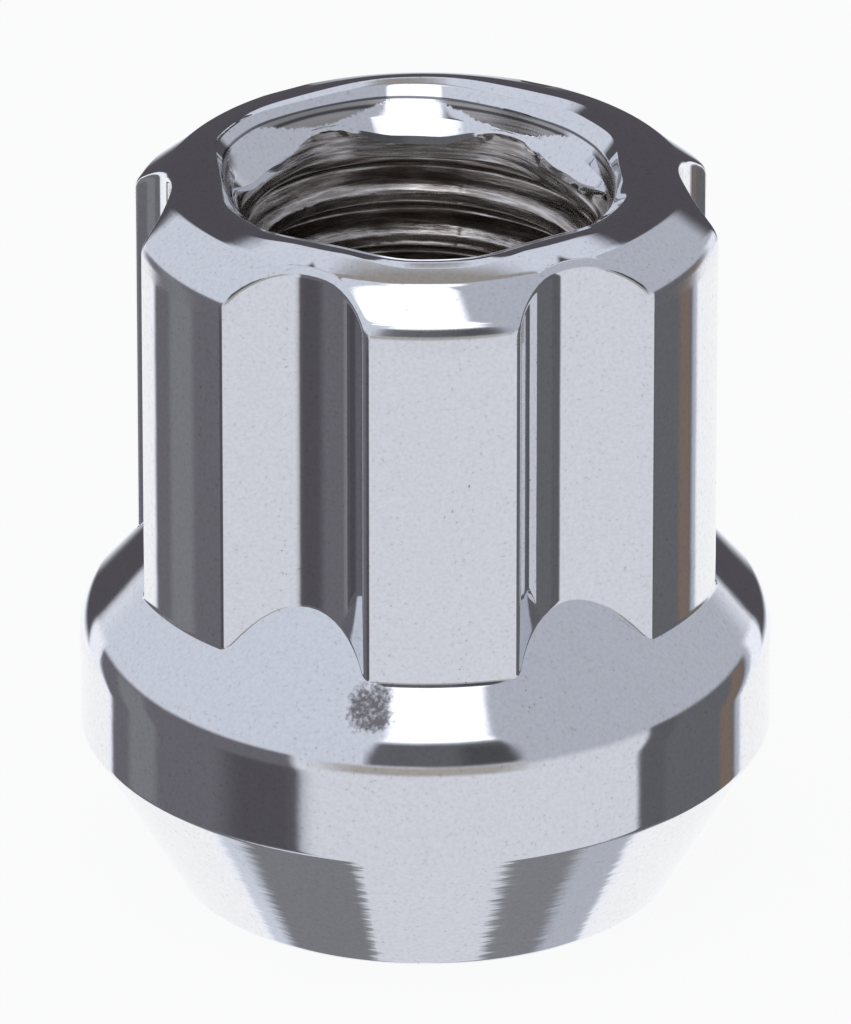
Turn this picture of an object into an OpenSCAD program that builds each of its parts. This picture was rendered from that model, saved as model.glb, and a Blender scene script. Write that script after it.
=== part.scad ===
// Open-ended, spline-drive lug nut with a 60 degree acorn seat.
// The seat cone points down and the wrench end is up. The axis is Z, and the
// origin is the centre of the seat's small end, which is the face it stands on.

/* [Overall] */
// Height from the seat's small end to the lip of the open end
nut_h = 24.3; // [22:0.1:34]

/* [Seat and flange] */
// Diameter of the seat cone at its small end
seat_end_d = 16.3; // [15:0.1:17]
// Included angle of the seat cone
seat_angle = 60; // [55:1:90]
// Diameter of the flange band above the seat
flange_d = 22.25; // [21.4:0.05:25]
// Height of the flange band between the seat and the shoulder
band_h = 3.6; // [2:0.05:6]
// Slope of the shoulder above the band, measured from level
shoulder_slope = 49; // [35:1:55]
// Radius between the band and the shoulder
band_top_r = 2; // [0.2:0.1:2.2]
// Radius that breaks the edge between the seat and the band
band_foot_r = 0.25; // [0.1:0.05:0.8]
// Radius that breaks the edge of the seat's small end
seat_end_r = 0.25; // [0.1:0.05:0.6]

/* [Splined body] */
// Diameter over the ribs
body_d = 19; // [18.6:0.1:20.4]
// Number of ribs, with a flute between each two
rib_count = 6; // [5:1:7]
// Width of a rib across its outer face
rib_w = 4.9; // [4:0.05:6]
// Depth of a flute below the outer face of the ribs
flute_depth = 1.4; // [0.9:0.05:1.8]
// Radius that breaks the long edges of the ribs
rib_edge_r = 0.4; // [0.1:0.05:0.5]
// Turn of the first rib away from the front of the nut
rib_turn = 3.2; // [0:0.1:30]

/* [Crown] */
// Diameter of the level ring at the lip of the open end
crown_flat_d = 14.2; // [13.8:0.1:15]
// Slope of the crown beside the level ring, measured from level
crown_top_slope = 20; // [8:1:24]
// Width of that gently sloped part of the crown
crown_top_w = 1.05; // [0.4:0.05:1.2]
// Slope of the bevel that the wrench slides over, measured from level
bevel_slope = 38; // [25:1:45]
// Radius between the bevel and the outer face of the ribs
bevel_foot_r = 0.7; // [0.2:0.05:0.9]

/* [Mouth] */
// Width of the mouth across its flats, which lie at the flutes
mouth_flats = 12.9; // [12.7:0.05:13.2]
// Width of the mouth across its rounded corners, which lie at the ribs
mouth_corners = 14.1; // [13.5:0.05:14.2]
// Diameter of the lead-in cone at the height of the lip, just outside the mouth's corners
lead_in_d = 14.25; // [14.22:0.01:14.6]
// Included angle of the lead-in cone
lead_in_angle = 66; // [56:1:76]

/* [Stud bore] */
// Outside diameter of the stud thread
thread_d = 12; // [11.5:0.1:12.1]
// Pitch of the stud thread
thread_pitch = 1.5; // [1:0.25:1.75]
// Diameter of the countersink in the seat's small end
foot_sink_d = 13; // [12.6:0.1:13.8]

/* [Hidden] */
$fn = 96;

// How far a cutter runs past the face that it opens
past = 1;
// Steps along each rounded corner of a turned outline
round_steps = 6;
// Share by which the rounds of the ribs' edges and of the mouth's corners are fuller
// than tangent, so that they cross the faces beside them at a clear angle
fullness = 1.02;

body_r = body_d / 2;
flange_r = flange_d / 2;
foot_r = seat_end_d / 2;
seat_h = (flange_r - foot_r) / tan(seat_angle / 2);
band_top_z = seat_h + band_h;

// Flutes: each is one arc through the edges of two ribs and the flute's floor
rib_pitch = 360 / rib_count;
rib_half = asin(rib_w / 2 / body_r);
flute_half = rib_pitch / 2 - rib_half;
floor_r = body_r - flute_depth;
edge_x = body_r * sin(flute_half);
edge_y = body_r * cos(flute_half);
flute_r = (pow(edge_x, 2) + pow(edge_y - floor_r, 2)) / (2 * (edge_y - floor_r));
flute_axis_r = floor_r + flute_r;

// The shoulder cone runs on under the body until it is inside the flutes' floors
shoulder_tuck = 0.6;
shoulder_in_r = floor_r - shoulder_tuck;
shoulder_top_z = band_top_z + (flange_r - shoulder_in_r) * tan(shoulder_slope);

// Crown, from the level ring outwards and down
crown_flat_r = crown_flat_d / 2;
crown_knee_r = crown_flat_r + crown_top_w;
crown_knee_z = nut_h - crown_top_w * tan(crown_top_slope);
bevel_foot_z = crown_knee_z - (body_r - crown_knee_r) * tan(bevel_slope);

// Mouth: a polygon with one corner at each rib, and each corner rounded
flats_r = mouth_flats / 2;
corners_r = mouth_corners / 2;
corner_at_r = (corners_r - fullness * flats_r) / (1 - fullness * cos(rib_pitch / 2));
corner_round_r = flats_r - corner_at_r * cos(rib_pitch / 2);

// Thread: its sharp triangle, and the share of it that the nut's ridges fill
thread_sharp_h = thread_pitch * sqrt(3) / 2;
thread_share = 5 / 8;
minor_r = thread_d / 2 - thread_sharp_h * thread_share;

// Lead-in cone, from the lip down to the thread's crests and to the foot of the
// mouth's flats; the nut's foot is sunk at 45 degrees
lead_in_r = lead_in_d / 2;
lead_in_slope = tan(lead_in_angle / 2);
lead_in_foot_z = nut_h - (lead_in_r - minor_r) / lead_in_slope;
flats_foot_z = nut_h - (lead_in_r - flats_r) / lead_in_slope;
foot_sink_r = foot_sink_d / 2;
foot_sink_h = foot_sink_r - minor_r;

// Points of the arc of radius r that rounds corner b of the path a, b, c
function rounded_corner(a, b, c, r) =
    let (
        u = (a - b) / norm(a - b),
        v = (c - b) / norm(c - b),
        half = acos(u * v) / 2,
        centre = b + (u + v) / norm(u + v) * r / sin(half),
        from = b + u * r / tan(half) - centre,
        to = b + v * r / tan(half) - centre,
        sweep = 180 - 2 * half
    )
    [for (i = [0 : round_steps])
        let (t = i / round_steps)
        centre + (from * sin((1 - t) * sweep) + to * sin(t * sweep)) / sin(sweep)];

// Outline through points [x, y, r], where r above zero rounds that corner
function outline(pts) =
    let (n = len(pts), xy = [for (p = pts) [p.x, p.y]])
    [for (i = [0 : n - 1])
        each pts[i][2] > 0
            ? rounded_corner(xy[(i + n - 1) % n], xy[i], xy[(i + 1) % n], pts[i][2])
            : [xy[i]]];

// A ring of copies, one at each rib, with the first at the front of the nut
module at_each_rib() {
    for (i = [0 : rib_count - 1])
        rotate(180 + rib_turn + i * rib_pitch)
            children();
}

// Seat cone, band and shoulder cone, turned in one outline
module seat_and_flange() {
    rotate_extrude()
        polygon(outline([
            [0, 0, 0],
            [foot_r, 0, seat_end_r],
            [flange_r, seat_h, band_foot_r],
            [flange_r, band_top_z, band_top_r],
            [shoulder_in_r, shoulder_top_z, 0],
            [0, shoulder_top_z, 0]
        ]));
}

// Body before its flutes are formed: a straight barrel with the crown on top
module barrel() {
    rotate_extrude()
        polygon(outline([
            [0, seat_h, 0],
            [body_r, seat_h, 0],
            [body_r, bevel_foot_z, bevel_foot_r],
            [crown_knee_r, crown_knee_z, 0],
            [crown_flat_r, nut_h, 0],
            [0, nut_h, 0]
        ]));
}

// What is taken off one long edge of a rib, seen along the axis from a flute.
// The break runs from the rib's outer face to the flute's arc.
module rib_edge() {
    at_r = body_r - rib_edge_r;
    reach = flute_r + rib_edge_r;
    turn = acos((pow(at_r, 2) + pow(flute_axis_r, 2) - pow(reach, 2)) / (2 * at_r * flute_axis_r));
    out = [sin(turn), cos(turn)];
    centre = at_r * out;
    flute_axis = [0, flute_axis_r];
    on_flute = flute_axis + (centre - flute_axis) * flute_r / reach;
    corner = [edge_x, edge_y];
    difference() {
        polygon([
            centre,
            body_r * out,
            (body_r + rib_edge_r) * out,
            corner * (body_r + 2 * rib_edge_r) / body_r,
            2 * on_flute - centre
        ]);
        translate(centre)
            circle(rib_edge_r * fullness);
    }
}

// One flute as a full-length cutter on the +Y side, with the breaks on the edges beside it
module flute() {
    translate([0, 0, seat_h - past])
        linear_extrude(nut_h - seat_h + 2 * past) {
            translate([0, flute_axis_r])
                circle(flute_r);
            for (side = [0, 1])
                mirror([side, 0])
                    rib_edge();
        }
}

// Barrel with its ring of flutes, half way between the ribs
module splined_body() {
    difference() {
        barrel();
        at_each_rib()
            rotate(rib_pitch / 2)
                flute();
    }
}

// Seen along the axis, the mouth is a polygon with a circle round each of its corners
module mouth_outline() {
    at_each_rib()
        translate([0, corner_at_r])
            circle(corner_round_r * fullness);
    rotate(180 + rib_turn)
        polygon([for (i = [0 : rib_count - 1], side = [-1, 1])
            let (
                rib = 90 + i * rib_pitch,
                flat = rib + side * rib_pitch / 2
            )
            corner_at_r * [cos(rib), sin(rib)] + corner_round_r * [cos(flat), sin(flat)]]);
}

// The mouth's wavy wall, with room for the whole bore below the foot of its flats
module mouth_wall() {
    translate([0, 0, flats_foot_z - past])
        linear_extrude(nut_h - flats_foot_z + 3 * past)
            mouth_outline();
    translate([0, 0, -2 * past])
        cylinder(h = flats_foot_z + past, r = lead_in_r + past);
}

// Lead-in cone, thread bore and the countersink in the foot, turned in one outline
module bore() {
    rotate_extrude()
        polygon([
            [0, -past],
            [foot_sink_r + past, -past],
            [minor_r, foot_sink_h],
            [minor_r, lead_in_foot_z],
            [lead_in_r + past * lead_in_slope, nut_h + past],
            [0, nut_h + past]
        ]);
}

// The hole through the nut: flats stand in the lead-in cone at the flutes, as lens-shaped faces
module hole() {
    intersection() {
        bore();
        mouth_wall();
    }
}

// The whole nut, forged and plated as one piece
module lug_nut() {
    color([0.78, 0.79, 0.83])
        difference() {
            union() {
                seat_and_flange();
                splined_body();
            }
            hole();
        }
}

lug_nut();
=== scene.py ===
"""Open-ended, spline-drive lug nut in bright chrome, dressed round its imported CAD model.

The nut stands on the small end of its acorn seat, on a plain pale floor. Every
size in the classes below is in millimetres and in the frame of the CAD model:
+Z is the nut's axis, and the camera looks from -Y.
"""

import logging
import math
from dataclasses import dataclass
from dataclasses import field
from dataclasses import fields
from enum import Enum
from typing import Any
from typing import Sequence

import bpy
import numpy as np
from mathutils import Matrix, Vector


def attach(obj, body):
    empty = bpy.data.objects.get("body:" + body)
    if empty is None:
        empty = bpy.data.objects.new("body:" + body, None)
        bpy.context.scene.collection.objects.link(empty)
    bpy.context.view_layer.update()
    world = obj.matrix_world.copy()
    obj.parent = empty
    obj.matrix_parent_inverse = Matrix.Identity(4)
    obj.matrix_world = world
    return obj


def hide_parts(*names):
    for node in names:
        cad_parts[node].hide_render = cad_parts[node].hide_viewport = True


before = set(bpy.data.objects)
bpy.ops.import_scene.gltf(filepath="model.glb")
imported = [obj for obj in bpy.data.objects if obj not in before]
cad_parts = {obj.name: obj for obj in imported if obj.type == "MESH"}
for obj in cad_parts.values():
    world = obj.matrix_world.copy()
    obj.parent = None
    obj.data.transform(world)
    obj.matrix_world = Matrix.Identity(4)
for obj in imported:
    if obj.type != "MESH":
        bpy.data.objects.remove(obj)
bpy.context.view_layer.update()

MM = 0.001
LOG = logging.getLogger("lug_nut")

Colour = tuple[float, float, float, float]
Corner = tuple[Any, Any]


class Finish(Enum):
    """The finishes on the nut, each with its place in the mesh's material list."""

    CHROME = 0
    CUT_STEEL = 1


def smooth_step(x: np.ndarray, low: float, high: float) -> np.ndarray:
    """Gives 0 below low, 1 above high and a smooth rise between them.

    Args:
        x: The values to place on the rise.
        low: Where the rise begins.
        high: Where the rise ends.

    Returns:
        One value from 0 to 1 for each in x.
    """
    t = np.clip((x - low) / (high - low), 0.0, 1.0)
    return t * t * (3.0 - 2.0 * t)


class Paint:
    """One value in a shader, on which Python's operators add nodes."""

    def __init__(self, bench: "Bench", socket: bpy.types.NodeSocket | None) -> None:
        """Keeps the socket and the bench that its nodes are laid on."""
        self.bench = bench
        self.socket = socket

    def _math(self, operation: str, *values: "Paint | float") -> "Paint":
        """Adds a Math node that works on the values in order."""
        return self.bench.node("ShaderNodeMath", {"operation": operation}, dict(enumerate(values)))

    def __add__(self, other: "Paint | float") -> "Paint":
        """Adds the two values."""
        return self._math("ADD", self, other)

    def __radd__(self, other: float) -> "Paint":
        """Adds the two values."""
        return self._math("ADD", other, self)

    def __sub__(self, other: "Paint | float") -> "Paint":
        """Takes the other value from this one."""
        return self._math("SUBTRACT", self, other)

    def __rsub__(self, other: float) -> "Paint":
        """Takes this value from the other one."""
        return self._math("SUBTRACT", other, self)

    def __mul__(self, other: "Paint | float") -> "Paint":
        """Multiplies the two values."""
        return self._math("MULTIPLY", self, other)

    def __rmul__(self, other: float) -> "Paint":
        """Multiplies the two values."""
        return self._math("MULTIPLY", other, self)

    def most(self, other: "Paint | float") -> "Paint":
        """Gives the larger of the two values."""
        return self._math("MAXIMUM", self, other)

    def least(self, other: "Paint | float") -> "Paint":
        """Gives the smaller of the two values."""
        return self._math("MINIMUM", self, other)

    def size(self) -> "Paint":
        """Gives the value without its sign."""
        return self._math("ABSOLUTE", self)

    def cosine(self) -> "Paint":
        """Gives the cosine of the value, which is in radians."""
        return self._math("COSINE", self)

    def turn_from(self, middle: float) -> "Paint":
        """Gives how far the angle is from the middle one, in degrees and either way round."""
        return self._math("WRAP", self - middle, 180.0, -180.0).size()

    def rise(self, low: float, high: float) -> "Paint":
        """Gives 0 at low and 1 at high, with a smooth rise between them.

        Args:
            low: Where the rise begins. Where it is above high, the rise is a fall.
            high: Where the rise ends.

        Returns:
            A value from 0 to 1.
        """
        return self.bench.node(
            "ShaderNodeMapRange",
            {"interpolation_type": "SMOOTHSTEP"},
            {"Value": self, "From Min": low, "From Max": high},
        )

    def within(self, low: float, high: float, soft: float) -> "Paint":
        """Gives 1 between low and high, and 0 outside.

        Args:
            low: The lower edge.
            high: The upper edge.
            soft: The width over which each edge fades.

        Returns:
            A value from 0 to 1.
        """
        half = soft / 2.0
        return self.rise(low - half, low + half) * self.rise(high + half, high - half)


@dataclass(frozen=True)
class Fade:
    """A smooth change of a value in a shader, from 0 at the start to 1 at the end."""

    start: float
    end: float

    def of(self, value: Paint) -> Paint:
        """Gives how far the value is through the change."""
        return value.rise(self.start, self.end)


@dataclass(frozen=True)
class Zone:
    """A stretch of heights or angles in a shader, with soft edges."""

    low: float
    high: float
    soft: float

    def of(self, value: Paint) -> Paint:
        """Gives 1 for a value inside the stretch and 0 outside it."""
        return value.within(self.low, self.high, self.soft)


class Bench:
    """A shader's node tree, with one method that adds any node to it."""

    def __init__(self, tree: bpy.types.NodeTree) -> None:
        """Clears the tree, so that only what is laid here stays in it."""
        self.tree = tree
        tree.nodes.clear()

    def node(
        self,
        kind: str,
        settings: dict[str, Any] | None = None,
        values: dict[Any, Any] | None = None,
        out: int | str = 0,
    ) -> Paint:
        """Adds one node.

        Args:
            kind: The node's type name.
            settings: Its settings, which are set before anything is linked.
            values: The value or link of each input, by name or by number.
            out: The output that is handed back.

        Returns:
            That output.
        """
        made = self.tree.nodes.new(kind)
        for name, value in (settings or {}).items():
            setattr(made, name, value)
        for name, value in (values or {}).items():
            if isinstance(value, Paint):
                self.tree.links.new(value.socket, made.inputs[name])
            else:
                made.inputs[name].default_value = value
        return Paint(self, made.outputs[out] if len(made.outputs) else None)

    def blend(self, mask: Paint, low: Any, high: Any) -> Paint:
        """Mixes two colours.

        Args:
            mask: The share of the second colour.
            low: The colour, or link, where the mask is 0.
            high: The colour, or link, where the mask is 1.

        Returns:
            The mixed colour.
        """
        share, first, second, mixed = 0, 6, 7, 2
        values = {share: mask, first: low, second: high}
        return self.node("ShaderNodeMix", {"data_type": "RGBA"}, values, mixed)

    def noise(self, where: Paint, grain: float, detail: float, rough: float = 0.5) -> Paint:
        """Adds a noise pattern.

        Args:
            where: The place on the surface, in metres.
            grain: The size of the pattern's features in millimetres.
            detail: How many finer layers are added.
            rough: How strong the finer layers are.

        Returns:
            A value of about 0.5, from 0 to 1.
        """
        scale = 1.0 / (grain * MM)
        values = {"Vector": where, "Scale": scale, "Detail": detail, "Roughness": rough}
        return self.node("ShaderNodeTexNoise", {}, values)

    def drawn_out(self, along: tuple[Any, Any, Any], detail: float, rough: float = 0.5) -> Paint:
        """Adds a noise pattern that is longer one way than another.

        Args:
            along: Three coordinates, each counted in lengths of the pattern's features.
            detail: How many finer layers are added.
            rough: How strong the finer layers are.

        Returns:
            A value of about 0.5, from 0 to 1.
        """
        where = self.node("ShaderNodeCombineXYZ", {}, dict(enumerate(along)))
        values = {"Vector": where, "Scale": 1.0, "Detail": detail, "Roughness": rough}
        return self.node("ShaderNodeTexNoise", {}, values)

    def metal(self, colour: Paint, roughness: Paint, height: Paint) -> None:
        """Ends the tree of a metal finish.

        Args:
            colour: The metal's colour.
            roughness: Its roughness.
            height: The height of its fine relief in millimetres.
        """
        relief = {"Strength": 1.0, "Distance": MM, "Height": height}
        bump = self.node("ShaderNodeBump", {}, relief)
        look = {"Base Color": colour, "Metallic": 1.0, "Roughness": roughness, "Normal": bump}
        surface = self.node("ShaderNodeBsdfPrincipled", {}, look)
        self.node("ShaderNodeOutputMaterial", {}, {"Surface": surface})


class Spot:
    """Where a point of the nut lies.

    The place is in metres, the radius and the height are in millimetres, and the angle is in
    radians from the far side, rising to the right, with its seam on the near side.
    """

    def __init__(self, bench: Bench) -> None:
        """Measures the point.

        Args:
            bench: The bench of the finish.
        """
        self.place = bench.node("ShaderNodeTexCoord", out="Object")
        split = bench.node("ShaderNodeSeparateXYZ", {}, {0: self.place}).socket.node
        x, y, z = (Paint(bench, split.outputs[i]) for i in range(3))
        flat = bench.node("ShaderNodeCombineXYZ", {}, {0: x, 1: y, 2: 0.0})
        length = bench.node("ShaderNodeVectorMath", {"operation": "LENGTH"}, {0: flat}, "Value")
        self.angle = bench.node("ShaderNodeMath", {"operation": "ARCTAN2"}, {0: x, 1: y})
        self.radius = length * (1.0 / MM)
        self.height = z * (1.0 / MM)


def grey(level: float, tint: Sequence[float] = (1.0, 1.0, 1.0)) -> Colour:
    """Gives a colour of that level, tinted."""
    return (level * tint[0], level * tint[1], level * tint[2], 1.0)


@dataclass(frozen=True)
class Chrome:
    """Bright plate over forged steel: a cool mirror with faint waves, specks and brown stains.

    The upright flats in the mouth are brushed, with a line of painted shade at the crease above
    them and a band of painted shade just below it, and the shoulder has a speckled patch of
    painted dark reflection left of its middle.
    """

    colour: Colour = (0.86, 0.87, 0.90, 1.0)
    paler: Colour = (0.80, 0.805, 0.83, 1.0)
    stain: Colour = (0.36, 0.29, 0.23, 1.0)
    brushed: Colour = (0.62, 0.59, 0.56, 1.0)
    dull: Colour = (0.20, 0.18, 0.165, 1.0)
    # Near black, painted at and below the mouth's crease as shade.
    crease_shade: Colour = (0.05, 0.05, 0.06, 1.0)
    # Dark grey brown for the painted dark reflection on the shoulder.
    dark_reflection: Colour = (0.13, 0.11, 0.11, 1.0)
    stain_share: float = 0.8
    brushed_share: float = 0.92
    dark_share: float = 0.85

    gloss: float = 0.04
    pit_roughness: float = 0.2
    flat_roughness: float = 0.22
    rib_top_roughness: float = 0.14
    shoulder_roughness: float = 0.02

    wave_size: float = 2.4
    wave_height: float = 0.0034
    ripple_size: float = 0.5
    ripple_height: float = 0.00045
    shoulder_waves: float = 1.2
    streaks: tuple[float, float, float] = (1.6, 9.0, 2.0)
    streak_height: float = 0.008
    turning: tuple[float, float] = (3.0, 3.6)
    turning_height: float = 0.0022

    speck_size: float = 0.13
    stain_size: float = 1.9
    paler_specks: Fade = Fade(0.3, 0.7)
    pit_specks: Fade = Fade(0.68, 0.76)
    stained: Fade = Fade(0.58, 0.70)
    least_pits: float = 0.35

    rib_top: Zone = Zone(22.1, 22.95, 0.35)
    rib_face: Fade = Fade(8.9, 9.25)
    shoulder: Zone = Zone(7.5, 12.3, 1.0)
    shoulder_face: Fade = Fade(8.0, 9.0)
    seat: Fade = Fade(5.6, 4.8)

    flutes: float = 6.0
    first_flute: float = math.radians(26.8)
    mouth_r: float = 6.75
    mouth_fade: float = 0.15
    # Where the line of painted shade lies along the mouth's crease, and how wide it is.
    crease_z: float = 23.82
    crease_tilt: float = 0.13
    crease_width: float = 0.045
    crease_core: float = 0.4
    flat_foot_z: float = 23.22
    flat_foot_rise: float = 0.30
    flat_foot_tilt: float = 0.24
    flat_foot_fray: float = 0.2
    flat_foot: Fade = Fade(-0.04, 0.04)
    flat_top: Fade = Fade(0.0, 0.03)
    flat_sides: Fade = Fade(-0.9, -0.5)
    # The band of painted shade just below the crease, on the flats.
    flat_shade: Zone = Zone(0.14, 0.24, 0.06)

    # Where the painted dark reflection lies: on the shoulder, left of its middle, frayed by specks
    # and ripples.
    dark_reflection_side: Zone = Zone(-3.06, -2.88, 0.12)
    dark_reflection_level: Zone = Zone(9.3, 10.7, 0.7)
    dark_reflection_specks: float = 0.7
    dark_reflection_ripples: float = 0.6
    dark_reflection_grain: Fade = Fade(1.30, 1.75)

    def dress(self) -> bpy.types.Material:
        """Makes the material.

        Returns:
            The chrome material.
        """
        made = bpy.data.materials.new("bright_chrome")
        made.use_nodes = True
        bench = Bench(made.node_tree)
        spot = Spot(bench)
        wave = bench.noise(spot.place, self.wave_size, 1.0)
        ripple = bench.noise(spot.place, self.ripple_size, 1.0)
        speck = bench.noise(spot.place, self.speck_size, 1.0, 0.6)
        stains = self.stained.of(bench.noise(spot.place, self.stain_size, 4.0, 0.7))
        pits = (self.pit_specks.of(speck) * (self.least_pits + stains)).least(1.0)
        flats, shade = self.flats(spot, speck)
        round_it, up, out = self.streaks
        streaks = (spot.angle * round_it, spot.height * up, spot.radius * out)
        streaks = bench.drawn_out(streaks, 3.0)
        round_it, up = self.turning
        turning = bench.drawn_out((spot.angle * round_it, spot.height * up, 0.0), 2.0)
        rib_top = self.rib_top.of(spot.height) * self.rib_face.of(spot.radius)
        shoulder = self.shoulder.of(spot.height) * self.shoulder_face.of(spot.radius)
        # Painted dark reflection: a speckled dark patch on the shoulder, left of its middle.
        dark_reflection = self.dark_reflection_side.of(spot.angle) * self.dark_reflection_level.of(spot.height)
        dark_reflection = dark_reflection + speck * self.dark_reflection_specks + ripple * self.dark_reflection_ripples
        dark_reflection = self.dark_reflection_grain.of(dark_reflection)

        height = wave * self.wave_height + ripple * self.ripple_height
        height = height * (1.0 + shoulder * self.shoulder_waves)
        height = height + flats * streaks * self.streak_height
        height = height + self.seat.of(spot.height) * turning * self.turning_height

        colour = bench.blend(self.paler_specks.of(speck), self.colour, self.paler)
        colour = bench.blend(pits * self.stain_share, colour, self.stain)
        brushed = bench.blend(streaks, self.dull, self.brushed)
        colour = bench.blend(flats * self.brushed_share, colour, brushed)
        # Painted shade: near black at the crease and in a band just below it.
        colour = bench.blend(shade * self.dark_share, colour, self.crease_shade)
        # Lays the painted dark reflection over the shoulder's colour.
        colour = bench.blend(dark_reflection * self.dark_share, colour, self.dark_reflection)

        roughness = self.gloss + pits * self.pit_roughness + flats * self.flat_roughness
        roughness = roughness + rib_top * self.rib_top_roughness
        roughness = roughness + shoulder * self.shoulder_roughness
        bench.metal(colour, roughness, height)
        return made

    def flats(self, spot: Spot, speck: Paint) -> tuple[Paint, Paint]:
        """Finds the brushed flats in the mouth, and the painted shade at and below the crease
        above them.

        Args:
            spot: Where the point lies.
            speck: A fine pattern that frays the flats' feet.

        Returns:
            The mask of the flats, and that of the painted shade: a dark line at the crease above
            them and a dark band just below it.
        """
        aside = (spot.angle - math.pi / 2.0).cosine()
        inside = spot.radius.rise(self.mouth_r, self.mouth_r - self.mouth_fade)
        at_flute = ((spot.angle - self.first_flute) * self.flutes).cosine()
        foot_z = self.flat_foot_z + (1.0 - at_flute) * self.flat_foot_rise
        foot_z = foot_z - aside * self.flat_foot_tilt
        below = self.crease_z - aside * self.crease_tilt - spot.height
        above = spot.height - foot_z + speck * self.flat_foot_fray - self.flat_foot_fray / 2.0
        flats = self.flat_foot.of(above) * self.flat_top.of(below)
        flats = flats * inside * self.flat_sides.of(at_flute)
        # Painted shade: a dark line along the crease above the flats.
        crease = below.size().rise(self.crease_width, self.crease_width * self.crease_core)
        crease = crease * inside
        return flats, (self.flat_shade.of(below) * flats).most(crease)


@dataclass(frozen=True)
class CutSteel:
    """The tapped thread: cut steel, warm and rougher than the plate, scratched along its helix,
    with painted shade towards its roots.
    """

    crest: Colour = (0.74, 0.71, 0.68, 1.0)
    root: Colour = (0.30, 0.26, 0.23, 1.0)
    pitch: float = 1.5
    dash: float = 1.1
    scratch: float = 0.085
    scratch_height: float = 0.012
    ridge: float = 0.36
    ridge_height: float = 0.09
    cloud_size: float = 1.3
    helix_r: float = 6.0
    # Paler towards the crests and darker towards the roots: painted shade in the thread's grooves.
    groove_shade: Fade = Fade(5.9, 5.21)
    shiny_scratch: Fade = Fade(0.38, 0.66)
    ridge_line: Fade = Fade(0.05, 0.0)
    scratch_share: float = 0.6
    groove_shade_share: float = 0.15
    cloud_share: float = 0.2
    ridge_share: float = 0.5
    darker: float = 0.1
    roughness: float = 0.14
    cloud_roughness: float = 0.12

    def dress(self) -> bpy.types.Material:
        """Makes the material.

        Returns:
            The steel material.
        """
        made = bpy.data.materials.new("cut_steel")
        made.use_nodes = True
        bench = Bench(made.node_tree)
        spot = Spot(bench)
        climb = spot.height + spot.angle * (self.pitch / (2.0 * math.pi))
        dashes = (spot.angle * (self.helix_r / self.dash), climb * (1.0 / self.scratch), 0.0)
        scratches = bench.drawn_out(dashes, 4.0, 0.6)
        ridges = bench.drawn_out((spot.angle * 0.9, climb * (1.0 / self.ridge), 3.0), 1.0)
        cloud = bench.noise(spot.place, self.cloud_size, 2.0, 0.6)
        bright = self.shiny_scratch.of(scratches) * self.scratch_share
        # Painted shade: the thread darker towards its roots.
        bright = bright + self.groove_shade.of(spot.radius) * self.groove_shade_share
        bright = bright + cloud * self.cloud_share
        bright = bright + self.ridge_line.of((ridges - 0.5).size()) * self.ridge_share
        bright = (bright - self.darker).least(1.0).most(0.0)
        colour = bench.blend(bright, self.root, self.crest)
        height = scratches * self.scratch_height + ridges * self.ridge_height
        bench.metal(colour, self.roughness + cloud * self.cloud_roughness, height)
        return made


@dataclass(frozen=True)
class Spline:
    """The splined body seen along the axis: ribs on a circle, with round flutes between them."""

    outer_r: float = 9.5
    ribs: int = 6
    rib_w: float = 4.9
    flute_depth: float = 1.4
    edge_r: float = 0.4
    first_rib: float = math.radians(-86.8)
    face_steps: int = 5
    edge_steps: int = 7
    flute_steps: int = 8

    @property
    def pitch(self) -> float:
        """The angle from rib to rib."""
        return 2.0 * math.pi / self.ribs

    def half_sector(self) -> tuple[np.ndarray, np.ndarray]:
        """Walks the outline from the middle of a rib to the middle of the flute beside it.

        Returns:
            The angle from the rib's middle and the radius of each point.
        """
        half = self.pitch / 2.0
        flute_half = half - math.asin(self.rib_w / 2.0 / self.outer_r)
        across = self.outer_r * math.sin(flute_half)
        rise = self.outer_r * math.cos(flute_half) - (self.outer_r - self.flute_depth)
        flute_r = (across**2 + rise**2) / (2.0 * rise)
        axis_r = self.outer_r - self.flute_depth + flute_r
        edge_at = self.outer_r - self.edge_r
        reach = flute_r + self.edge_r
        turn = math.acos((edge_at**2 + axis_r**2 - reach**2) / (2.0 * edge_at * axis_r))
        edge_angle = half - turn
        edge_centre = edge_at * np.exp(1j * edge_angle)
        flute_centre = axis_r * np.exp(1j * half)
        last_normal = float(np.angle(flute_centre - edge_centre))
        face = self.outer_r * np.exp(1j * np.linspace(0.0, edge_angle, self.face_steps + 1))
        normals = np.linspace(edge_angle, last_normal, self.edge_steps + 1)[1:]
        edge = edge_centre + self.edge_r * np.exp(1j * normals)
        sweep = np.linspace(last_normal + math.pi, half + math.pi, self.flute_steps + 1)[1:]
        flute = flute_centre + flute_r * np.exp(1j * sweep)
        path = np.concatenate([face, edge, flute])
        return np.angle(path), np.abs(path)

    def columns(self) -> tuple[np.ndarray, np.ndarray]:
        """Walks the whole outline.

        Returns:
            The angle of each column, rising from the front rib, and the body's radius there.
        """
        angle, radius = self.half_sector()
        down = self.pitch - angle[-2:0:-1]
        one = np.concatenate([angle, down])
        one_r = np.concatenate([radius, radius[-2:0:-1]])
        turns = self.first_rib + self.pitch * np.arange(self.ribs)
        return (turns[:, None] + one[None, :]).ravel(), np.tile(one_r, self.ribs)


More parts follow.
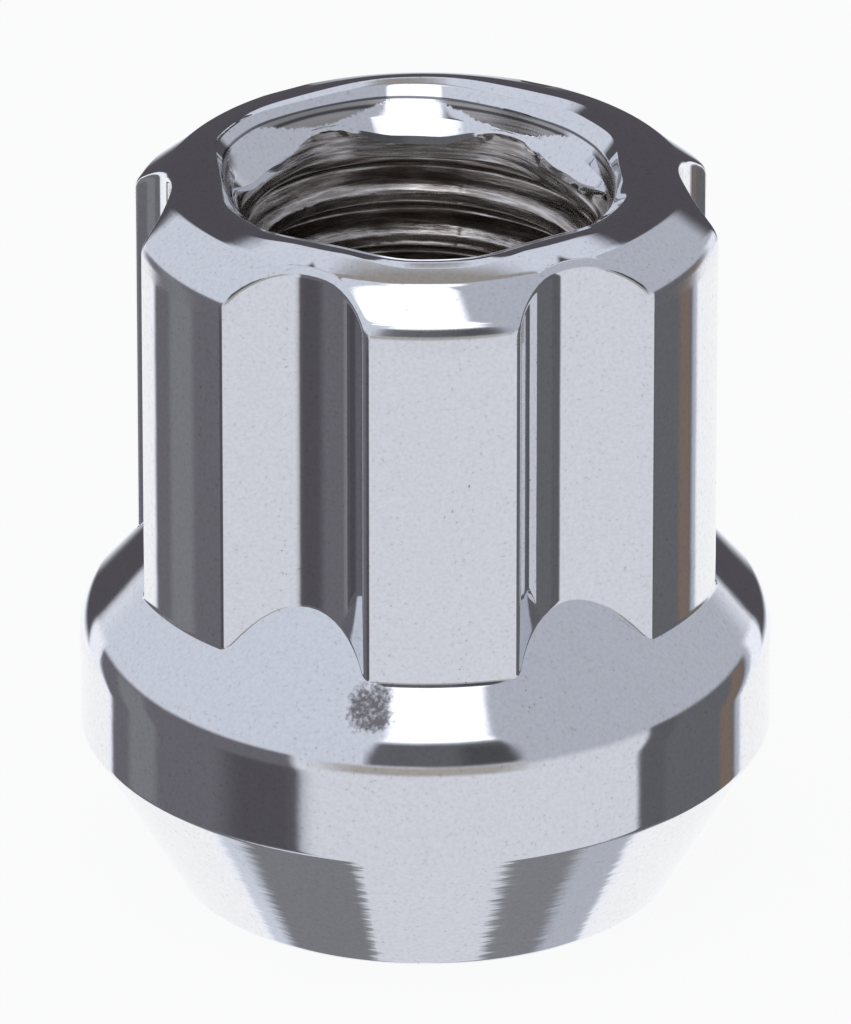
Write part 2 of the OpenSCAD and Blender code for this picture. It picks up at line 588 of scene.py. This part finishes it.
@dataclass(frozen=True)
class Wave:
    """A radius or a height round the mouth, which isn't quite even.

    It differs between the ribs and the flutes. On the far side it is larger on the left by
    "aside" and smaller on the right. At the ribs it is larger on the near side by "near" and
    smaller on the far one.
    """

    rib: float
    flute: float
    aside: float = 0.0
    near: float = 0.0

    def at(self, angle: np.ndarray, pressed: np.ndarray) -> np.ndarray:
        """Gives the value in each direction.

        Args:
            angle: The angle of each column.
            pressed: How far each column is pressed in, from 0 at a rib to 1 at a flute.

        Returns:
            One value for each column.
        """
        level = self.rib + (self.flute - self.rib) * pressed
        far = (1.0 + np.sin(angle)) / 2.0
        at_rib = 1.0 - pressed
        return level - self.aside * far * np.cos(angle) - self.near * at_rib * np.sin(angle)


@dataclass(frozen=True)
class Mouth:
    """The wavy mouth: a crest, a gentle lip, a bevel, and steep flats in the lead-in cone."""

    crest_r: Wave = Wave(7.10, 6.77, 0.05, 0.08)
    crest_z: Wave = Wave(24.26, 24.27)
    lip_r: Wave = Wave(6.77, 6.35, 0.32, 0.10)
    lip_z: Wave = Wave(24.16, 24.145, 0.045, 0.02)
    crease_r: Wave = Wave(6.30, 6.22, 0.40)
    crease_z: Wave = Wave(23.79, 23.88, 0.12)
    flat_foot_r: Wave = Wave(5.93, 6.0, 0.26)
    flat_foot_z: Wave = Wave(23.32, 23.23, 0.24)
    foot_r: Wave = Wave(5.54, 5.94, 0.20)
    foot_z: Wave = Wave(22.80, 23.16, 0.24)
    throat_r: Wave = Wave(5.45, 5.88, 0.18)
    throat_z: Wave = Wave(22.58, 23.08, 0.24)

    def corners(self, angle: np.ndarray, pressed: np.ndarray) -> list[Corner]:
        """Gives the section's corners from the crest down to the throat.

        Args:
            angle: The angle of each column.
            pressed: How far each column is pressed in.

        Returns:
            The radius and the height of each corner in every column.
        """
        places = [
            (self.crest_r, self.crest_z),
            (self.lip_r, self.lip_z),
            (self.crease_r, self.crease_z),
            (self.flat_foot_r, self.flat_foot_z),
            (self.foot_r, self.foot_z),
            (self.throat_r, self.throat_z),
        ]
        return [(r.at(angle, pressed), z.at(angle, pressed)) for r, z in places]


@dataclass(frozen=True)
class Thread:
    """The tapped thread: right-hand, with flat crests and small flat roots."""

    pitch: float = 1.5
    crest_r: float = 5.1881
    root_r: float = 6.0
    top_z: float = 23.4
    foot_z: float = 0.45
    foot_sink_r: float = 6.5
    crest_share: float = 0.25
    flank_angle: float = math.radians(30.0)
    edge_cut: float = 0.03
    edge_slant: float = 1.4
    tear: float = 0.012
    fray: float = 0.01
    torn_depth: float = 0.1
    seam: float = 0.0001

    def turn(self) -> tuple[np.ndarray, np.ndarray]:
        """Gives the profile of one turn.

        Returns:
            The share of the pitch, from 0 to below 1, and the radius of each of its points.
        """
        depth = self.root_r - self.crest_r
        flank = depth * math.tan(self.flank_angle) / self.pitch
        crest = self.crest_share
        root = 1.0 - crest - 2.0 * flank
        along = self.edge_cut / self.pitch
        slant = flank * self.edge_cut / depth * self.edge_slant
        sink = depth * slant / flank
        stops = [
            (along, self.crest_r),
            (crest / 2.0, self.crest_r),
            (crest - along, self.crest_r),
            (crest + slant, self.crest_r + sink),
            (crest + flank / 2.0, self.crest_r + depth / 2.0),
            (crest + flank - slant, self.root_r - sink),
            (crest + flank + along, self.root_r),
            (crest + flank + root - along, self.root_r),
            (crest + flank + root + slant, self.root_r - sink),
            (1.0 - flank / 2.0, self.crest_r + depth / 2.0),
            (1.0 - slant, self.crest_r + sink),
        ]
        share, radius = zip(*stops)
        return np.array(share), np.array(radius)


@dataclass
class LugNut:
    """The whole nut as one closed mesh of columns round the axis."""

    spline: Spline = field(default_factory=Spline)
    mouth: Mouth = field(default_factory=Mouth)
    thread: Thread = field(default_factory=Thread)
    height: float = 24.3
    crown_flat_r: float = 7.1
    crown_knee_r: float = 8.15
    crown_slope: float = math.radians(20.0)
    bevel_slope: float = math.radians(38.0)
    rib_top_r: float = 0.7
    flute_top_r: float = 0.45
    flange_r: float = 11.1215
    foot_r: float = 8.15
    seat_half_angle: float = math.radians(30.0)
    band_h: float = 3.6
    shoulder_slope: float = math.radians(49.0)
    band_top_r: float = 2.0
    band_foot_r: float = 0.25
    seat_end_r: float = 0.25
    root_r: float = 0.25
    sink_edge_r: float = 0.06
    throat_half_angle: float = math.radians(20.0)
    crest_w: float = 0.3
    crown_ease: float = 0.12
    ribs_from_r: float = 8.9
    round_share: float = 0.4
    round_depth: float = 0.75
    all_rib: float = 0.2
    all_flute: float = 0.95
    mouth_rounds: tuple[float, ...] = (0.2, 0.2, 0.1, 0.15, 0.25)
    mouth_steps: int = 7
    knee_steps: tuple[float, ...] = (-0.2, -0.1, -0.05, 0.0, 0.05, 0.1, 0.2)
    ease_steps: int = 9
    crown_steps: int = 9
    root_steps: int = 4
    band_steps: int = 14
    seat_steps: int = 5
    sink_steps: int = 2
    face_share: float = 0.8
    apart: float = 0.004
    nudge: float = 0.01
    hold: float = 0.05

    @property
    def seat_h(self) -> float:
        """The height of the seat cone."""
        return (self.flange_r - self.foot_r) / math.tan(self.seat_half_angle)

    def crown(self, r: np.ndarray, crest_r: np.ndarray, crest_z: np.ndarray) -> np.ndarray:
        """Gives the crown's height outside the mouth's crest.

        Args:
            r: The radius of each place.
            crest_r: The radius of the crest in each column.
            crest_z: The height of the crest.

        Returns:
            One height for each place, with the crown's edges eased.
        """
        heights = []
        for step in np.linspace(-self.crown_ease, self.crown_ease, self.ease_steps):
            at = r + step
            rise = np.clip((at - crest_r) / self.crest_w, 0.0, 1.0)
            gentle = np.clip(at - self.crown_flat_r, 0.0, self.crown_knee_r - self.crown_flat_r)
            steep = np.maximum(at - self.crown_knee_r, 0.0)
            heights.append(
                crest_z
                + (self.height - crest_z) * rise
                - gentle * math.tan(self.crown_slope)
                - steep * math.tan(self.bevel_slope)
            )
        return np.mean(heights, axis=0)

    @staticmethod
    def ease(
        start: Corner, before: Corner, end: Corner, after: Corner, steps: int
    ) -> list[Corner]:
        """Joins two stretches of the section with a curve that runs on from both.

        Args:
            start: Where the curve begins.
            before: A point of the first stretch, just before the start.
            end: Where the curve ends.
            after: A point of the second stretch, just after the end.
            steps: How many steps the curve has.

        Returns:
            The curve's points, from start to end.
        """
        out_r, out_z = start[0] - before[0], start[1] - before[1]
        in_r, in_z = after[0] - end[0], after[1] - end[1]
        gap_r, gap_z = end[0] - start[0], end[1] - start[1]
        reach = (gap_r * in_z - gap_z * in_r) / (out_r * in_z - out_z * in_r)
        mid_r, mid_z = start[0] + out_r * reach, start[1] + out_z * reach
        turn = (out_r * in_r + out_z * in_z) / (np.hypot(out_r, out_z) * np.hypot(in_r, in_z))
        weight = np.sqrt((1.0 + turn) / 2.0)
        points = []
        for t in np.linspace(0.0, 1.0, steps + 1):
            near, far, mid = (1.0 - t) ** 2, t**2, 2.0 * t * (1.0 - t) * weight
            whole = near + mid + far
            points.append(
                (
                    (near * start[0] + mid * mid_r + far * end[0]) / whole,
                    (near * start[1] + mid * mid_z + far * end[1]) / whole,
                )
            )
        return points

    def corner(
        self, before: Corner, at: Corner, after: Corner, radius: float, steps: int
    ) -> list[Corner]:
        """Rounds one corner of the section in every column at once.

        Args:
            before: The section's point before the corner, as radius and height.
            at: The corner.
            after: The point after the corner.
            radius: The radius of the round.
            steps: How many steps the round has.

        Returns:
            The points of the round, with one more on each side that holds the flat faces flat.
        """
        a, b, c = (np.stack(np.broadcast_arrays(*p), -1) for p in (before, at, after))
        u, v = a - b, c - b
        reach_u = np.linalg.norm(u, axis=-1, keepdims=True)
        reach_v = np.linalg.norm(v, axis=-1, keepdims=True)
        u, v = u / reach_u, v / reach_v
        half = np.arccos(np.clip(np.sum(u * v, -1, keepdims=True), -1.0, 1.0)) / 2.0
        room = self.face_share * np.minimum(reach_u, reach_v)
        tangent = np.minimum(radius / np.tan(half), room)
        weight = np.sin(half)
        points = []
        first = b + u * np.minimum(tangent + self.hold, (tangent + reach_u) / 2.0)
        points.append((first[..., 0], first[..., 1]))
        for t in np.linspace(0.0, 1.0, steps + 1):
            near, far, mid = (1.0 - t) ** 2, t**2, 2.0 * t * (1.0 - t) * weight
            p = (near * (b + u * tangent) + mid * b + far * (b + v * tangent)) / (near + mid + far)
            points.append((p[..., 0], p[..., 1]))
        last = b + v * np.minimum(tangent + self.hold, (tangent + reach_v) / 2.0)
        points.append((last[..., 0], last[..., 1]))
        return points

    def pressed(self, angle: np.ndarray) -> np.ndarray:
        """Gives how far each column is pressed in.

        Args:
            angle: The angle of each column.

        Returns:
            One value for each column, from 0 at a rib to 1 at a flute.
        """
        half = self.spline.pitch / 2.0
        off = np.abs((angle - self.spline.first_rib + half) % self.spline.pitch - half)
        return smooth_step(off, self.all_rib * half, self.all_flute * half)

    def mouth_rows(self, inner: list[Corner]) -> list[Corner]:
        """Draws the mouth from the throat up to its crest.

        Args:
            inner: The mouth's corners, from the crest down to the throat.

        Returns:
            The rows of this part of the section.
        """
        outside = inner[0][0] + self.crest_w
        path = [(outside, self.crown(outside, *inner[0])), *inner][::-1]
        rows = [path[0]]
        for place, round_r in enumerate(self.mouth_rounds, 1):
            before, at, after = path[place - 1 : place + 2]
            rows += self.corner(before, at, after, round_r, self.mouth_steps)
        return rows

    def crown_rows(self, body_r: np.ndarray, crest: Corner) -> list[Corner]:
        """Draws the crown from outside its crest to the top of the body's wall.

        Args:
            body_r: The body's radius in each column.
            crest: The radius and the height of the crest.

        Returns:
            The rows of this part of the section.
        """
        share = smooth_step(body_r, self.ribs_from_r, self.spline.outer_r)
        top_round = self.flute_top_r + (self.rib_top_r - self.flute_top_r) * share
        inner_end = body_r - top_round * self.round_share
        last = crest[0] + self.crest_w + self.apart
        rows: list[Corner] = []
        for knees_left, r in ((2, self.crown_flat_r), (1, self.crown_knee_r)):
            room = self.apart * len(self.knee_steps) * knees_left
            for offset in self.knee_steps:
                at = np.minimum(np.maximum(r + offset, last), inner_end - room)
                last = at + self.apart
                rows.append((at, self.crown(at, *crest)))
        start = (inner_end, self.crown(inner_end, *crest))
        before = (inner_end - self.nudge, self.crown(inner_end - self.nudge, *crest))
        top_z = start[1] - top_round * self.round_depth
        wall_top, wall = (body_r, top_z), (body_r, top_z - self.nudge)
        rows += self.ease(start, before, wall_top, wall, self.crown_steps)
        rows.append((body_r, top_z - self.hold))
        return rows

    def flange_rows(self, body_r: np.ndarray, wall_top: np.ndarray) -> list[Corner]:
        """Draws the shoulder, the band, the seat and the foot's countersink.

        Args:
            body_r: The body's radius in each column.
            wall_top: The height of the top of the body's wall.

        Returns:
            The rows of this part of the section.
        """
        thread = self.thread
        band_top = self.seat_h + self.band_h
        wall_foot = band_top + (self.flange_r - body_r) * math.tan(self.shoulder_slope)
        wall_mid = (body_r, (wall_top + wall_foot) / 2.0)
        root = (body_r, wall_foot)
        band_edge = (self.flange_r, band_top)
        band_foot = (self.flange_r, self.seat_h)
        seat_end = (self.foot_r, 0.0)
        sink_edge = (thread.foot_sink_r, 0.0)
        sink_foot = (thread.foot_sink_r - thread.foot_z, thread.foot_z)
        rows = self.corner(wall_mid, root, band_edge, self.root_r, self.root_steps)
        rows += self.corner(root, band_edge, band_foot, self.band_top_r, self.band_steps)
        rows += self.corner(band_edge, band_foot, seat_end, self.band_foot_r, self.root_steps)
        rows += self.corner(band_foot, seat_end, sink_edge, self.seat_end_r, self.seat_steps)
        rows += self.corner(seat_end, sink_edge, sink_foot, self.sink_edge_r, self.sink_steps)
        rows.append(sink_foot)
        return rows

    def section(self, angle: np.ndarray, body_r: np.ndarray) -> tuple[np.ndarray, np.ndarray]:
        """Draws the section from the top of the thread, over the crown, to the thread's foot.

        Args:
            angle: The angle of each column.
            body_r: The body's radius in each column.

        Returns:
            The radius and the height of each point, with one row for each step of the section.
        """
        inner = self.mouth.corners(angle, self.pressed(angle))
        rows = self.mouth_rows(inner)
        rows += self.crown_rows(body_r, inner[0])
        wall_top = rows[-2][1]
        rows += self.flange_rows(body_r, wall_top)
        shape = (len(rows), len(angle))
        radius, z = np.empty(shape), np.empty(shape)
        for row, (r, h) in enumerate(rows):
            radius[row], z[row] = r, h
        return radius, z

    def bore(self, angle: np.ndarray) -> tuple[np.ndarray, np.ndarray, int]:
        """Lays the thread's rows along its helix.

        Args:
            angle: The angle of each column.

        Returns:
            The radius and height of each point, with one row more for each step up the helix,
            and how many rows one turn has.
        """
        thread = self.thread
        share, profile = thread.turn()
        turns = math.ceil((thread.top_z - thread.foot_z) / thread.pitch) + 2
        climb = (angle - angle[0]) / (2.0 * math.pi)
        steps = (np.arange(turns)[:, None] + share[None, :]).ravel() - 1.0
        z = thread.foot_z + (steps[:, None] + climb[None, :]) * thread.pitch
        tear = thread.tear * np.sin(angle * 41.0) * np.sin(angle * 17.0 + z * 3.1)
        tear = tear + thread.fray * np.sin(angle * 97.0 + z * 9.0)
        flat = np.tile(profile, turns)[:, None]
        torn = flat < thread.crest_r + thread.torn_depth
        radius = np.broadcast_to(flat, z.shape) + tear * torn
        throat_r, throat_z = self.mouth.corners(angle, self.pressed(angle))[-1]
        run_in = throat_r + (z - throat_z) * math.tan(self.throat_half_angle)
        sunk = thread.foot_sink_r - z
        return np.maximum(np.maximum(radius, run_in), sunk), z, len(share)

    def plated_faces(self, outer: np.ndarray) -> list[tuple[int, ...]]:
        """Makes the faces of the section, once round the nut.

        Args:
            outer: The number of each point of the section, in rows and columns.

        Returns:
            The faces.
        """
        steps, columns = outer.shape
        faces = []
        for row in range(steps - 1):
            for column in range(columns):
                beside = (column + 1) % columns
                upper = (outer[row, column], outer[row, beside])
                lower = (outer[row + 1, column], outer[row + 1, beside])
                faces.append((upper[0], lower[0], lower[1], upper[1]))
        return faces

    def cut_faces(self, inner: np.ndarray, turn: int) -> list[tuple[int, ...]]:
        """Makes the faces of the bore, which climb by one turn each time round the nut.

        Args:
            inner: The number of each point of the bore, where many at the ends are the same.
            turn: How many rows one turn of the thread has.

        Returns:
            The faces, without those that have no area.
        """
        rows, columns = inner.shape
        faces = []
        for column in range(columns):
            beside = (column + 1) % columns
            lift = turn if beside == 0 else 0
            for row in range(rows - 1 - lift):
                ring = (
                    inner[row, column],
                    inner[row + 1, column],
                    inner[row + 1 + lift, beside],
                    inner[row + lift, beside],
                )
                kept = [p for place, p in enumerate(ring) if p != ring[place - 1]]
                if len(kept) >= 3 and len(kept) == len(set(kept)):
                    faces.append(tuple(kept))
        return faces

    def shape(self) -> bpy.types.Mesh:
        """Builds the mesh, in which the bore and the section share their first and last rows.

        Returns:
            The mesh, with the faces of each finish marked.
        """
        angle, body_r = self.spline.columns()
        radius, z = self.section(angle, body_r)
        outer = np.arange(radius.size).reshape(radius.shape)
        helix_r, helix_z, turn = self.bore(angle)
        low = self.thread.foot_z + self.thread.seam
        high = z[0] - self.thread.seam
        inside = (helix_z > low) & (helix_z < high)
        inner = np.where(helix_z <= low, outer[-1][None, :], outer[0][None, :])
        inner[inside] = radius.size + np.arange(int(inside.sum()))
        all_r = np.concatenate([radius.ravel(), helix_r[inside]])
        all_z = np.concatenate([z.ravel(), helix_z[inside]])
        section_a = np.broadcast_to(angle, radius.shape).ravel()
        all_a = np.concatenate([section_a, np.broadcast_to(angle, helix_r.shape)[inside]])
        points = np.stack([all_r * np.cos(all_a), all_r * np.sin(all_a), all_z], -1) * MM

        plated = self.plated_faces(outer)
        cut = self.cut_faces(inner, turn)
        faces = plated + cut
        kinds = [Finish.CHROME.value] * len(plated) + [Finish.CUT_STEEL.value] * len(cut)
        mesh = bpy.data.meshes.new("lug_nut_dressed")
        mesh.from_pydata(points.tolist(), [], faces)
        mesh.polygons.foreach_set("material_index", kinds)
        mesh.polygons.foreach_set("use_smooth", [True] * len(faces))
        mesh.update()
        return mesh

    def build(self) -> bpy.types.Object:
        """Builds and dresses the nut.

        Returns:
            The nut, with its finishes in the order of Finish.
        """
        mesh = self.shape()
        mesh.materials.append(Chrome().dress())
        mesh.materials.append(CutSteel().dress())
        made = bpy.data.objects.new("dressed_nut", mesh)
        bpy.context.scene.collection.objects.link(made)
        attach(made, "root")
        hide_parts("lug_nut")
        return made


@dataclass(frozen=True)
class Card:
    """One soft-edged card round the nut, placed by azimuth and height, both in degrees."""

    left: float
    right: float
    low: float
    high: float
    level: float
    tint: tuple[float, float, float] = (1.0, 1.0, 1.0)
    side_soft: float = 5.0
    edge_soft: float = 5.0

    def hang(self, bench: Bench, azimuth: Paint, height: Paint, behind: Any) -> Paint:
        """Hangs the card in front of what is already there.

        Args:
            bench: The bench of the world's shader.
            azimuth: The azimuth of each direction, 0 towards the camera and rising to the right.
            height: The height of each direction.
            behind: The colour of what is behind the card.

        Returns:
            The colour with the card in place.
        """
        half, soft = (self.right - self.left) / 2.0, self.side_soft / 2.0
        away = azimuth.turn_from((self.left + self.right) / 2.0)
        mask = away.rise(half + soft, half - soft)
        mask = mask * height.within(self.low, self.high, self.edge_soft)
        return bench.blend(mask, behind, grey(self.level, self.tint))


LILAC = (0.94, 0.98, 1.10)
COOL = (0.96, 0.98, 1.05)
WARM = (1.06, 1.0, 0.93)
DUSK = (1.02, 0.97, 1.10)
BROWN = (1.25, 0.96, 0.8)


@dataclass(frozen=True)
class Studio:
    """The pale floor, the soft light round it and the camera.

    Each card hangs in front of those before it. Metal sees white behind the nut, as the camera
    does, and elsewhere it sees the cards.
    """

    left_wall: Card = Card(-150.0, 0.0, -100.0, 100.0, 0.70, LILAC)
    front_floor: Card = Card(-44.0, 78.0, -100.0, -2.0, 0.74, COOL, 5.0, 14.0)
    near_floor: Card = Card(-30.0, 30.0, -14.0, 1.0, 0.38, WARM, 20.0, 8.0)
    left_flag: Card = Card(-129.0, -43.0, -50.0, 2.0, 0.15, DUSK, 4.0, 6.0)
    left_flag_edge: Card = Card(-70.0, -43.0, -34.0, -20.0, 0.09, DUSK, 14.0, 8.0)
    left_flag_light: Card = Card(-117.0, -102.0, -30.0, 0.0, 0.22, COOL, 5.0, 8.0)
    right_flag: Card = Card(76.0, 126.0, -50.0, 2.0, 0.14, COOL, 4.0, 6.0)
    right_flag_edge: Card = Card(76.0, 87.0, -34.0, 0.0, 0.12, COOL, 4.0, 4.0)
    right_stain: Card = Card(116.0, 124.0, -34.0, 0.0, 0.16, BROWN, 4.0, 4.0)
    front_flag: Card = Card(-18.0, 29.0, 3.0, 44.0, 0.13, COOL, 4.0, 7.0)
    front_flag_shade: Card = Card(12.0, 29.0, 5.0, 38.0, 0.08, COOL, 8.0, 10.0)
    softbox_foot: Card = Card(-17.0, 28.0, 47.0, 60.0, 1.4, COOL, 5.0, 4.0)
    softbox: Card = Card(-31.0, 36.0, 59.0, 70.0, 1.4, COOL, 6.0, 3.0)
    softbox_top: Card = Card(-68.0, 38.0, 69.0, 87.0, 1.4, COOL, 10.0, 3.0)
    rear_dark: Card = Card(141.0, 219.0, -20.0, 46.0, 0.085, DUSK, 6.0, 6.0)
    rear_strip: Card = Card(140.0, 220.0, 46.0, 61.0, 0.72, LILAC, 6.0, 6.0)
    rear_top: Card = Card(140.0, 220.0, 61.0, 86.0, 0.30, WARM, 12.0, 6.0)
    rear_floor: Card = Card(131.0, 229.0, -100.0, -14.0, 1.15, COOL, 4.0, 10.0)
    left_gap: Card = Card(-142.0, -130.0, -100.0, 6.0, 1.0, COOL, 4.0, 14.0)
    right_gap: Card = Card(130.0, 142.0, -100.0, 8.0, 1.0, COOL, 4.0, 10.0)
    foot_light: Card = Card(-90.0, 95.0, -100.0, -66.0, 0.74, COOL, 6.0, 8.0)
    left_foot: Card = Card(-123.0, -87.0, -82.0, -45.0, 0.22, COOL, 6.0, 8.0)
    right_foot: Card = Card(92.5, 115.0, -82.0, -45.0, 0.24, COOL, 6.0, 8.0)
    zenith: Card = Card(-400.0, 400.0, 82.0, 120.0, 1.3, COOL, 6.0, 3.0)
    wall_level: float = 0.50
    white_sides: Fade = Fade(50.0, 46.0)
    white_height: Fade = Fade(-14.0, -22.0)
    floor_level: float = 0.86
    floor_share: float = 0.93
    aim: tuple[float, float, float] = (0.0, 0.0, 12.128)
    away: float = 512.0
    elevation: float = math.radians(25.6)
    lens: float = 562.5
    sensor: float = 36.0
    nearest: float = 50.0
    farthest: float = 20000.0
    floor_size: float = 6000.0

    def camera(self) -> bpy.types.Object:
        """Sets up the camera with a long lens.

        Returns:
            The camera, which is the scene's own.
        """
        data = bpy.data.cameras.new("camera")
        data.lens = self.lens
        data.sensor_width = self.sensor
        data.clip_start = self.nearest * MM
        data.clip_end = self.farthest * MM
        made = bpy.data.objects.new("camera", data)
        bpy.context.scene.collection.objects.link(made)
        back = Vector((0.0, -math.cos(self.elevation), math.sin(self.elevation)))
        made.location = (Vector(self.aim) + back * self.away) * MM
        made.rotation_mode = "QUATERNION"
        made.rotation_quaternion = (-back).to_track_quat("-Z", "Y")
        bpy.context.scene.camera = made
        return made

    def floor(self) -> bpy.types.Object:
        """Lays the floor.

        Returns:
            The floor.
        """
        half = self.floor_size / 2.0 * MM
        mesh = bpy.data.meshes.new("floor")
        mesh.from_pydata(
            [(-half, -half, 0.0), (half, -half, 0.0), (half, half, 0.0), (-half, half, 0.0)],
            [],
            [(0, 1, 2, 3)],
        )
        made = bpy.data.objects.new("floor", mesh)
        bpy.context.scene.collection.objects.link(made)
        paint = bpy.data.materials.new("pale_floor")
        paint.use_nodes = True
        bench = Bench(paint.node_tree)
        path = bench.node("ShaderNodeLightPath", out="Is Camera Ray")
        seen = path.most(Paint(bench, path.socket.node.outputs["Is Glossy Ray"]))
        seen = seen.most(Paint(bench, path.socket.node.outputs["Is Transmission Ray"]))
        matt = bench.node("ShaderNodeBsdfDiffuse", {}, {"Color": grey(self.floor_level)})
        white = bench.node("ShaderNodeEmission", {}, {"Color": grey(1.0), "Strength": 1.0})
        parts = {0: seen * self.floor_share, 1: matt, 2: white}
        both = bench.node("ShaderNodeMixShader", {}, parts)
        bench.node("ShaderNodeOutputMaterial", {}, {"Surface": both})
        mesh.materials.append(paint)
        made.visible_glossy = False
        return made

    def sky(self) -> bpy.types.World:
        """Sets the soft light and the cards that the chrome mirrors.

        Azimuth 0 is towards the camera and rises to the right, and elevation rises from the floor.

        Returns:
            The scene's world.
        """
        made = bpy.data.worlds.new("studio")
        made.use_nodes = True
        bpy.context.scene.world = made
        bench = Bench(made.node_tree)
        towards = bench.node("ShaderNodeTexCoord", out="Generated")
        split = bench.node("ShaderNodeSeparateXYZ", {}, {0: towards}).socket.node
        x, y, up = (Paint(bench, split.outputs[i]) for i in range(3))
        degree = 180.0 / math.pi
        azimuth = bench.node("ShaderNodeMath", {"operation": "ARCTAN2"}, {0: x, 1: 0.0 - y})
        azimuth = azimuth * degree
        height = bench.node("ShaderNodeMath", {"operation": "ARCSINE"}, {0: up}) * degree
        colour: Any = grey(self.wall_level, LILAC)
        for place in fields(self):
            card = getattr(self, place.name)
            if isinstance(card, Card):
                colour = card.hang(bench, azimuth, height, colour)
        path = bench.node("ShaderNodeLightPath").socket.node
        camera = Paint(bench, path.outputs["Is Camera Ray"])
        shiny = Paint(bench, path.outputs["Is Glossy Ray"])
        clear = Paint(bench, path.outputs["Is Transmission Ray"])
        behind = self.white_sides.of(azimuth.turn_from(180.0)) * self.white_height.of(height)
        seen = camera.most((shiny + clear).least(1.0) * behind)
        colour = bench.blend(seen, colour, grey(1.0))
        back = bench.node("ShaderNodeBackground", {}, {"Color": colour, "Strength": 1.0})
        bench.node("ShaderNodeOutputWorld", {}, {"Surface": back})
        return made

    def build(self) -> None:
        """Sets the camera, the floor and the light."""
        self.camera()
        self.floor()
        self.sky()
        bpy.context.scene.view_settings.view_transform = "Standard"


def main() -> None:
    """Builds the studio and the nut, and reports each piece."""
    logging.basicConfig(level=logging.INFO, format="%(name)s: %(message)s")
    Studio().build()
    nut = LugNut().build()
    faces = sum(len(p.vertices) - 2 for p in nut.data.polygons)
    LOG.info("%s: %d points, %d triangles", nut.name, len(nut.data.vertices), faces)


if __name__ == "__main__":
    main()
